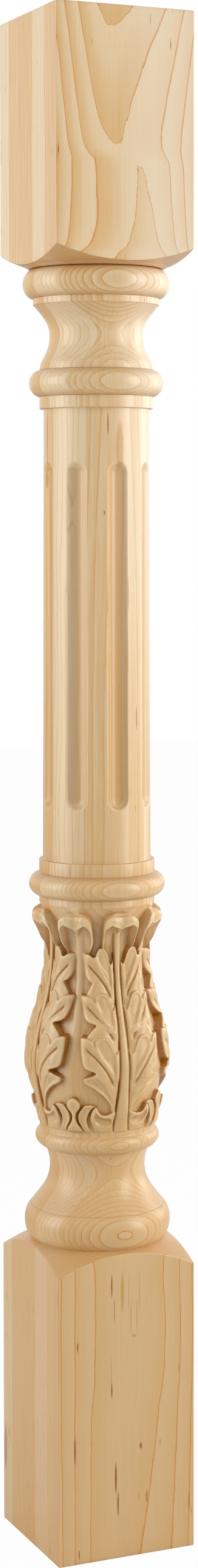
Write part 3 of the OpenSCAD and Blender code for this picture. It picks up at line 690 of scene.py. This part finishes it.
def maple():
    """Hard maple under a clear satin lacquer: pale and even, with thin orange-brown year lines, a fine
    upright fibre, brown flecks, and the lacquer's soft broad shine. Cut walls and hollows of the
    carving drink more finish and turn honey brown, and are painted darker still as their shade.
    Painted into the colour too: shade in the flute bottoms and the lower half, a highlight on the
    crests, and a whitish sheen on the right of the upper half."""
    wood = bpy.data.materials.new("hard maple, clear satin lacquer")
    wood.use_nodes = True
    tree = wood.node_tree
    tree.nodes.clear()
    maths, vector, noise = "ShaderNodeMath", "ShaderNodeVectorMath", "ShaderNodeTexNoise"
    span, mix = "ShaderNodeMapRange", "ShaderNodeMix"
    at = add(tree, "ShaderNodeTexCoord").outputs
    mm = add(tree, vector, {0: at["Object"], "Scale": 1 / MM}, operation="SCALE")
    across, depth, up = add(tree, "ShaderNodeSeparateXYZ", {0: mm}).outputs
    depth = add(tree, maths, {0: depth, 1: HALF}, operation="ADD").outputs[0]

    # each board has its own tone and its own place in a tree
    board = add(tree, maths, {0: depth, 1: BOARD}, operation="DIVIDE")
    keep_whole = 0.02            # the front face lies in one board, whatever the rounding
    board = add(tree, maths, {0: board, 1: keep_whole}, operation="ADD")
    board = add(tree, maths, {0: board}, operation="FLOOR")
    own = add(tree, "ShaderNodeTexWhiteNoise", {"W": board}, noise_dimensions="1D").outputs
    tone, lean, lie = add(tree, "ShaderNodeSeparateColor", {"Color": own["Color"]}).outputs
    front = add(tree, maths, {0: board, 1: 0.5}, operation="LESS_THAN")
    share = add(tree, maths, {0: up, 1: POST_H}, operation="DIVIDE")
    curves = []
    for points, low, high in ((SWAY, -20, 20), (BOW, 0, 8)):
        curve = add(tree, "ShaderNodeFloatCurve", {"Value": share})
        line = curve.mapping.curves[0]
        line.points[0].location = (0, (points[0][1] - low) / (high - low))
        line.points[1].location = (1, (points[-1][1] - low) / (high - low))
        for z, value in points[1:-1]:
            line.points.new(z / POST_H, (value - low) / (high - low))
        curve.mapping.update()
        curves.append(add(tree, span, {0: curve, 3: low, 4: high}))
    sway, bow = curves
    # the sway fades out towards the long sides of the face, as a bell curve of this half width
    sway_width = 28
    central = add(tree, maths, {0: across, 1: sway_width}, operation="DIVIDE")
    central = add(tree, maths, {0: central, 1: 2}, operation="POWER")
    central = add(tree, maths, {0: math.exp(-1), 1: central}, operation="POWER")
    sway = add(tree, maths, {0: sway, 1: central}, operation="MULTIPLY")
    drift = add(tree, vector, {0: mm, 1: (1 / 60, 1 / 60, 1 / 400)}, operation="MULTIPLY")
    drift = add(tree, noise, {"Vector": drift, "Detail": 1.0})
    drift = add(tree, span, {0: drift, 3: -2.5, 4: 2.5})
    lean = add(tree, span, {0: lean, 3: -60, 4: 60})
    lie = add(tree, span, {0: lie, 3: 70, 4: 170})
    pith_x = add(tree, mix, {0: front, 2: lean, 3: sway})
    pith_depth = add(tree, mix, {0: front, 2: lie, 3: PITH})
    bow = add(tree, mix, {0: front, 2: drift, 3: bow})
    aside = add(tree, maths, {0: across, 1: pith_x}, operation="SUBTRACT")
    before = add(tree, maths, {0: pith_depth, 1: depth}, operation="SUBTRACT")
    from_pith = add(tree, "ShaderNodeCombineXYZ", {0: aside, 1: before})
    age = add(tree, vector, {0: from_pith}, operation="LENGTH").outputs["Value"]
    age = add(tree, maths, {0: age, 1: bow}, operation="ADD")
    # the rings wander a little, and their edges are jagged where they are cut at a flat angle
    for width, length, swing, detail in ((26, 90, 0.09, 1.0), (4.2, 9, 0.035, 2.0)):
        waver = add(tree, vector, {0: mm, 1: (1 / width, 1 / width, 1 / length)}, operation="MULTIPLY")
        waver = add(tree, noise, {"Vector": waver, "Detail": detail})
        waver = add(tree, span, {0: waver, 3: -swing, 4: swing})
        age = add(tree, maths, {0: age, 1: waver}, operation="ADD")
    age = add(tree, maths, {0: age, 1: PITH + RING_BOW}, operation="SUBTRACT")
    year = add(tree, maths, {0: age, 1: RING}, operation="DIVIDE")
    part = add(tree, maths, {0: year}, operation="FRACT")
    to_end = add(tree, maths, {0: 1.0, 1: part}, operation="SUBTRACT")
    to_end = add(tree, maths, {0: to_end, 1: RING}, operation="MULTIPLY")
    late_wood = add(tree, span, {0: to_end, 1: 2.1, 2: 0.0, 3: 0.0, 4: 1.0},
                    interpolation_type="SMOOTHSTEP")
    # the line is as wide on a flat face as on a bead: its reach in age is its width times how fast
    # the age changes along the surface
    growth = add(tree, vector, {0: from_pith, 1: (1, -1, 1)}, operation="MULTIPLY")
    growth = add(tree, vector, {0: growth}, operation="NORMALIZE")
    slant = add(tree, vector, {0: growth, 1: at["Normal"]}, operation="CROSS_PRODUCT")
    slant = add(tree, vector, {0: slant}, operation="LENGTH").outputs["Value"]
    line_reach = add(tree, maths, {0: slant, 1: LINE, 2: 0.008}, operation="MULTIPLY_ADD")
    ring_line = add(tree, maths, {0: to_end, 1: line_reach}, operation="DIVIDE")
    ring_line = add(tree, span, {0: ring_line, 1: 1.0, 2: 0.3, 3: 0.0, 4: 1.0},
                    interpolation_type="SMOOTHSTEP")

    # the carver's share in the look: all of it on the leaves, a quarter from their curls upwards
    over_foot = add(tree, maths, {0: up, 1: CARVE_Z + 1.5}, operation="GREATER_THAN")
    under_curls = add(tree, span, {0: up, 1: CARVE_Z + 134, 2: CARVE_Z + 122, 3: 0.25, 4: 1.0})
    carved = add(tree, maths, {0: over_foot, 1: under_curls}, operation="MULTIPLY")
    over_bands = add(tree, maths, {0: up, 1: SHAFT_Z}, operation="GREATER_THAN")
    under_bands = add(tree, maths, {0: up, 1: SHAFT_TOP}, operation="LESS_THAN")
    on_shaft = add(tree, maths, {0: over_bands, 1: under_bands}, operation="MULTIPLY")

    # broad bands, fine fibre and tiny flecks, all drawn out along the post
    clouds = []
    for width, length, detail in ((9.0, 260.0, 2.0), (1.5, 60.0, 3.0), (0.5, 9.0, 2.0)):
        cloud_at = add(tree, vector, {0: mm, 1: (1 / width, 1 / width, 1 / length)}, operation="MULTIPLY")
        clouds.append(add(tree, noise, {"Vector": cloud_at, "Detail": detail}))
    wide, narrow, hair = clouds

    # how tan the wood is, from early wood at 0 to late wood at 1
    in_front = add(tree, span, {0: up, 1: HEAD_COVE_Z, 2: HEAD_CORNER_Z, 3: 0.35, 4: 0.8})
    behind = add(tree, span, {0: on_shaft, 3: 0.3, 4: 0.1})
    tan = add(tree, span, {0: front, 3: behind, 4: in_front})
    tan = add(tree, maths, {0: late_wood, 1: tan}, operation="MULTIPLY")
    worn = add(tree, span, {0: carved, 3: 1.0, 4: 0.5})
    tan = add(tree, maths, {0: tan, 1: worn}, operation="MULTIPLY")
    # bands of tan, stronger behind the front face
    stripes = add(tree, span, {0: depth, 1: 0.5, 2: 8.0, 3: 0.4, 4: 0.85})
    for cloud, low, high, most in ((wide, 0.3, 0.7, 0.4), (narrow, 0.35, 0.7, 0.24)):
        band = add(tree, span, {0: cloud, 1: low, 2: high, 3: 0, 4: most})
        band = add(tree, maths, {0: band, 1: stripes}, operation="MULTIPLY")
        tan = add(tree, maths, {0: tan, 1: band}, operation="ADD")
    tone = add(tree, span, {0: tone, 3: -0.45, 4: 0.5})
    tan = add(tree, maths, {0: tan, 1: tone}, operation="ADD", use_clamp=True)
    # the outer wood, whiter and plainer, lies to the right and shows in the upper half; the same whitening
    # also stands as painted sheen, the lamps' pale reflection on the right side and in the upper half
    upper_half = add(tree, span, {0: up, 1: 520, 2: 700, 3: 0.0, 4: 1.0})
    sap_and_sheen = add(tree, span, {0: across, 1: -5.0, 2: 20.0, 3: 0.0, 4: 0.42})
    sap_and_sheen = add(tree, maths, {0: sap_and_sheen, 1: upper_half}, operation="MULTIPLY")
    clear_of_sap_and_sheen = add(tree, maths, {0: 1.0, 1: sap_and_sheen}, operation="SUBTRACT")
    tan = add(tree, maths, {0: tan, 1: clear_of_sap_and_sheen}, operation="MULTIPLY")
    shade = add(tree, mix, {0: tan, 6: colour(EARLY_WOOD), 7: colour(LATE_WOOD)}, data_type="RGBA").outputs[2]

    # the year lines come and go. They show less deep in the post, where the carver's tools have
    # crossed them, and where the turning cuts across the rings and crowds them together.
    steep = add(tree, "ShaderNodeSeparateXYZ", {0: at["Normal"]}).outputs["Z"]
    steep = add(tree, maths, {0: steep}, operation="ABSOLUTE")
    for cause, low, high, at_low, at_high in ((narrow, 0.3, 0.7, 0.6, 1.0), (depth, 4.0, 13.0, 1.0, 0.45),
                                              (carved, 0.0, 1.0, 1.0, 0.3), (steep, 0.1, 0.6, 1.0, 0.4)):
        shown = add(tree, span, {0: cause, 1: low, 2: high, 3: at_low, 4: at_high})
        ring_line = add(tree, maths, {0: ring_line, 1: shown}, operation="MULTIPLY")

    # fibre everywhere, and a brown speck in some cells of a pattern drawn out along the post
    fibre = add(tree, span, {0: hair, 1: 0.25, 2: 0.75, 3: 0.0, 4: 0.32})
    speck_at = add(tree, vector, {0: mm, 1: (1 / 5, 1 / 5, 1 / 34)}, operation="MULTIPLY")
    speck = add(tree, "ShaderNodeTexVoronoi", {"Vector": speck_at, "Scale": 1.0}).outputs
    chosen = add(tree, "ShaderNodeSeparateColor", {"Color": speck["Color"]}).outputs[0]
    chosen = add(tree, maths, {0: chosen, 1: 0.72}, operation="GREATER_THAN")
    speck = add(tree, span, {0: speck["Distance"], 1: 0.11, 2: 0.05, 3: 0.0, 4: 0.6})
    speck = add(tree, maths, {0: speck, 1: chosen}, operation="MULTIPLY")

    # streaks and flecks in their own places, with uneven edges
    rough_edge = add(tree, vector, {0: mm, 1: (0.45, 0.45, 0.16)}, operation="MULTIPLY")
    rough_edge = add(tree, noise, {"Vector": rough_edge, "Detail": 3.0}).outputs["Color"]
    rough_edge = add(tree, vector, {0: rough_edge, 1: (-0.5, -0.5, -0.5)}, operation="ADD")
    spot = add(tree, vector, {0: rough_edge, 1: (0.8, 0.8, 5.0), 2: mm}, operation="MULTIPLY_ADD")
    marks = []
    for x, y, z, w, h, strength in PATCHES + STREAKS:
        # a mark is four times as deep into the post as it is wide on its face
        off = add(tree, vector, {0: spot, 1: (x, y, z)}, operation="SUBTRACT")
        thin = (1 / w, 0.25 / w, 1 / h) if abs(y) > abs(x) else (0.25 / w, 1 / w, 1 / h)
        off = add(tree, vector, {0: off, 1: thin}, operation="MULTIPLY")
        off = add(tree, vector, {0: off}, operation="LENGTH").outputs["Value"]
        marks.append(add(tree, span, {0: off, 1: 1.15, 2: 0.7, 3: 0.0, 4: strength}))
    patch, *patches = marks[:len(PATCHES)]
    for mark in patches:
        patch = add(tree, maths, {0: patch, 1: mark}, operation="MAXIMUM")
    streak, *streaks = marks[len(PATCHES):]
    for mark in streaks:
        streak = add(tree, maths, {0: streak, 1: mark}, operation="MAXIMUM")

    # what the carving does to the finish, with painted light and shade: the finish gathers in hollows and on
    # cut walls, which are also painted darker as their shade, and it wears off crests, which are also painted
    # paler as a highlight
    hollow = add(tree, "ShaderNodeAttribute", attribute_name="hollow").outputs["Fac"]
    # finish pooled in the hollows, and painted shade there: the further a point lies below its surroundings,
    # the darker amber it is, less so from the curls upwards
    hollow_finish_and_shade = add(tree, span, {0: hollow, 1: 0.12, 2: 1.5, 3: 0.0, 4: 0.55})
    less = add(tree, maths, {0: under_curls, 1: 0.75}, operation="POWER")
    hollow_finish_and_shade = add(tree, maths, {0: hollow_finish_and_shade, 1: less}, operation="MULTIPLY")
    # painted highlight: points standing above their surroundings are coloured paler
    crest = add(tree, span, {0: hollow, 1: -0.15, 2: -1.1, 3: 0.0, 4: 0.4})
    glaze = add(tree, span, {0: carved, 3: 0.0, 4: 0.3})
    level = add(tree, vector, {0: mm, 1: (1, 1, 0)}, operation="MULTIPLY")
    outward = add(tree, vector, {0: level}, operation="NORMALIZE")
    facing = add(tree, vector, {0: at["Normal"], 1: outward}, operation="DOT_PRODUCT").outputs["Value"]
    # finish soaked into the cut walls, and painted shade on them: the more a surface turns away from straight
    # outwards, the darker brown it is
    wall_finish_and_shade = add(tree, span, {0: facing, 1: 0.82, 2: 0.3, 3: 0.0, 4: 0.95})
    wall_finish_and_shade = add(tree, maths, {0: wall_finish_and_shade, 1: carved}, operation="MULTIPLY")
    # cut ends of the fibre are darker; the bottoms of the flutes are painted darker as their shade, and the
    # lower half is painted darker as shade where the lamps' light falls off towards the floor
    end_grain = add(tree, span, {0: steep, 1: 0.45, 2: 1.0, 3: 0.0, 4: 0.5})
    radius = add(tree, vector, {0: level}, operation="LENGTH").outputs["Value"]
    # painted shade: the bottoms of the flutes are coloured darker amber to stand for the shade in them
    flute = add(tree, span, {0: radius, 1: SHAFT_TOP_R - 1.0, 2: SHAFT_TOP_R - 3.4, 3: 0.0, 4: 0.5})
    flute = add(tree, maths, {0: flute, 1: on_shaft}, operation="MULTIPLY")
    # painted shade: darker towards the bottom of the post
    falloff_shade = add(tree, span, {0: up, 1: 700, 2: 200, 3: 0.0, 4: 0.56})

    # one layer of colour over the other: how much of it shows, and its colour
    for amount, code in ((sap_and_sheen, "F5E9D6"), (falloff_shade, "CB9A50"), (glaze, "BE9044"), (end_grain, "C8975A"),
                         (fibre, "CFA46C"), (speck, "A87436"), (ring_line, YEAR_LINE), (patch, "C6943C"),
                         (streak, "9A5A0C"), (crest, "F2DCAE"), (hollow_finish_and_shade, "B4802E"), (flute, "C28628"),
                         (wall_finish_and_shade, "A4660E")):
        mixed = add(tree, mix, {0: amount, 6: shade, 7: colour(code)}, data_type="RGBA")
        shade = mixed.outputs[2]

    # bare wood hardly shines; the lacquer over it does
    relief_grain = add(tree, "ShaderNodeBump", {"Height": hair, "Strength": 0.12, "Distance": 0.1 * MM})
    roughness = add(tree, span, {0: narrow, 1: 0.3, 2: 0.7, 3: 0.44, 4: 0.54})
    shader = add(tree, "ShaderNodeBsdfPrincipled", {
        "Base Color": shade, "Roughness": roughness, "IOR": 1.5, "Specular IOR Level": 0.1,
        "Normal": relief_grain, "Coat Weight": 1.0, "Coat Roughness": 0.33, "Coat IOR": 1.5})
    add(tree, "ShaderNodeOutputMaterial", {"Surface": shader})
    return wood


def studio_paper():
    """White seamless paper: nearly white to the eye whatever light falls on it, with a trace of the
    post's soft shadow."""
    paper = bpy.data.materials.new("white seamless paper")
    paper.use_nodes = True
    tree = paper.node_tree
    tree.nodes.clear()
    sheet = add(tree, "ShaderNodeBsdfDiffuse", {"Color": colour("E8E8E8")})
    glow = add(tree, "ShaderNodeEmission", {"Color": (1, 1, 1, 1), "Strength": 1.0})
    seen = add(tree, "ShaderNodeLightPath").outputs["Is Camera Ray"]
    own_white = 0.965            # the rest of what the eye sees is lit and shaded
    share = add(tree, "ShaderNodeMath", {0: seen, 1: own_white}, operation="MULTIPLY")
    mixed = add(tree, "ShaderNodeMixShader", {0: share, 1: sheet, 2: glow})
    add(tree, "ShaderNodeOutputMaterial", {"Surface": mixed})
    return paper


post = make_post(maple())
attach(post, "root")
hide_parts("newel_post")


# ---- stage, light and camera -------------------------------------------------------------------
def stage():
    """A sheet of studio paper on the floor, far wider than the view."""
    size = 6.0
    corners = [(-size, -size, 0), (size, -size, 0), (size, size, 0), (-size, size, 0)]
    mesh = bpy.data.meshes.new("studio_floor")
    mesh.from_pydata(corners, [], [(0, 1, 2, 3)])
    mesh.materials.append(studio_paper())
    floor = bpy.data.objects.new("studio_floor", mesh)
    bpy.context.scene.collection.objects.link(floor)


def background(fill):
    """White where it is seen or mirrored, and a soft even fill as light."""
    world = bpy.data.worlds.new("studio")
    bpy.context.scene.world = world
    world.use_nodes = True
    tree = world.node_tree
    tree.nodes.clear()
    path = add(tree, "ShaderNodeLightPath").outputs
    seen = path["Is Camera Ray"]
    for ray in ("Is Glossy Ray", "Is Transmission Ray"):
        seen = add(tree, "ShaderNodeMath", {0: seen, 1: path[ray]}, operation="MAXIMUM")
    level = add(tree, "ShaderNodeMix", {0: seen, 2: fill, 3: 1.0})
    shade = add(tree, "ShaderNodeBackground", {"Color": (1, 1, 1, 1), "Strength": level})
    add(tree, "ShaderNodeOutputWorld", {"Surface": shade})


def softbox(name, azimuth, width, power, aim_z):
    """A tall soft lamp round the post: azimuth 0 is in front of it, and positive is to the right."""
    elevation, distance, height = 6, 1.7, 1.5
    a, e = math.radians(azimuth), math.radians(elevation)
    lamp = bpy.data.lights.new(name, "AREA")
    lamp.shape = "RECTANGLE"
    lamp.size, lamp.size_y = width, height
    lamp.energy = power
    obj = bpy.data.objects.new(name, lamp)
    back = np.array([math.sin(a) * math.cos(e), -math.cos(a) * math.cos(e), math.sin(e)])
    obj.location = back * distance + [0, 0, aim_z]
    obj.rotation_euler = (math.radians(90) - e, 0, a)
    bpy.context.scene.collection.objects.link(obj)


def camera():
    """A long lens at chest height, turned so that one corner of the post leads."""
    turn, tilt, roll = math.radians(-23.66), math.radians(2.568), math.radians(0.076)
    away, height = 1.8398, 0.7106
    lens = bpy.data.cameras.new("camera")
    lens.sensor_width = 36.0
    lens.lens = 61.05
    lens.shift_x, lens.shift_y = 0.0017, -0.0927
    obj = bpy.data.objects.new("camera", lens)
    obj.location = (math.sin(turn) * away, -math.cos(turn) * away, height)
    obj.rotation_euler = (math.pi / 2 - tilt, roll * math.sin(math.pi / 2 - tilt), turn)
    bpy.context.scene.collection.objects.link(obj)
    bpy.context.scene.camera = obj


stage()
background(fill=0.5)
softbox("left_softbox", azimuth=-98, width=0.8, power=14, aim_z=0.78)
softbox("right_softbox", azimuth=46, width=0.6, power=17, aim_z=0.80)
softbox("side_softbox", azimuth=98, width=0.6, power=7.5, aim_z=0.80)
camera()
bpy.context.scene.view_settings.view_transform = "Standard"
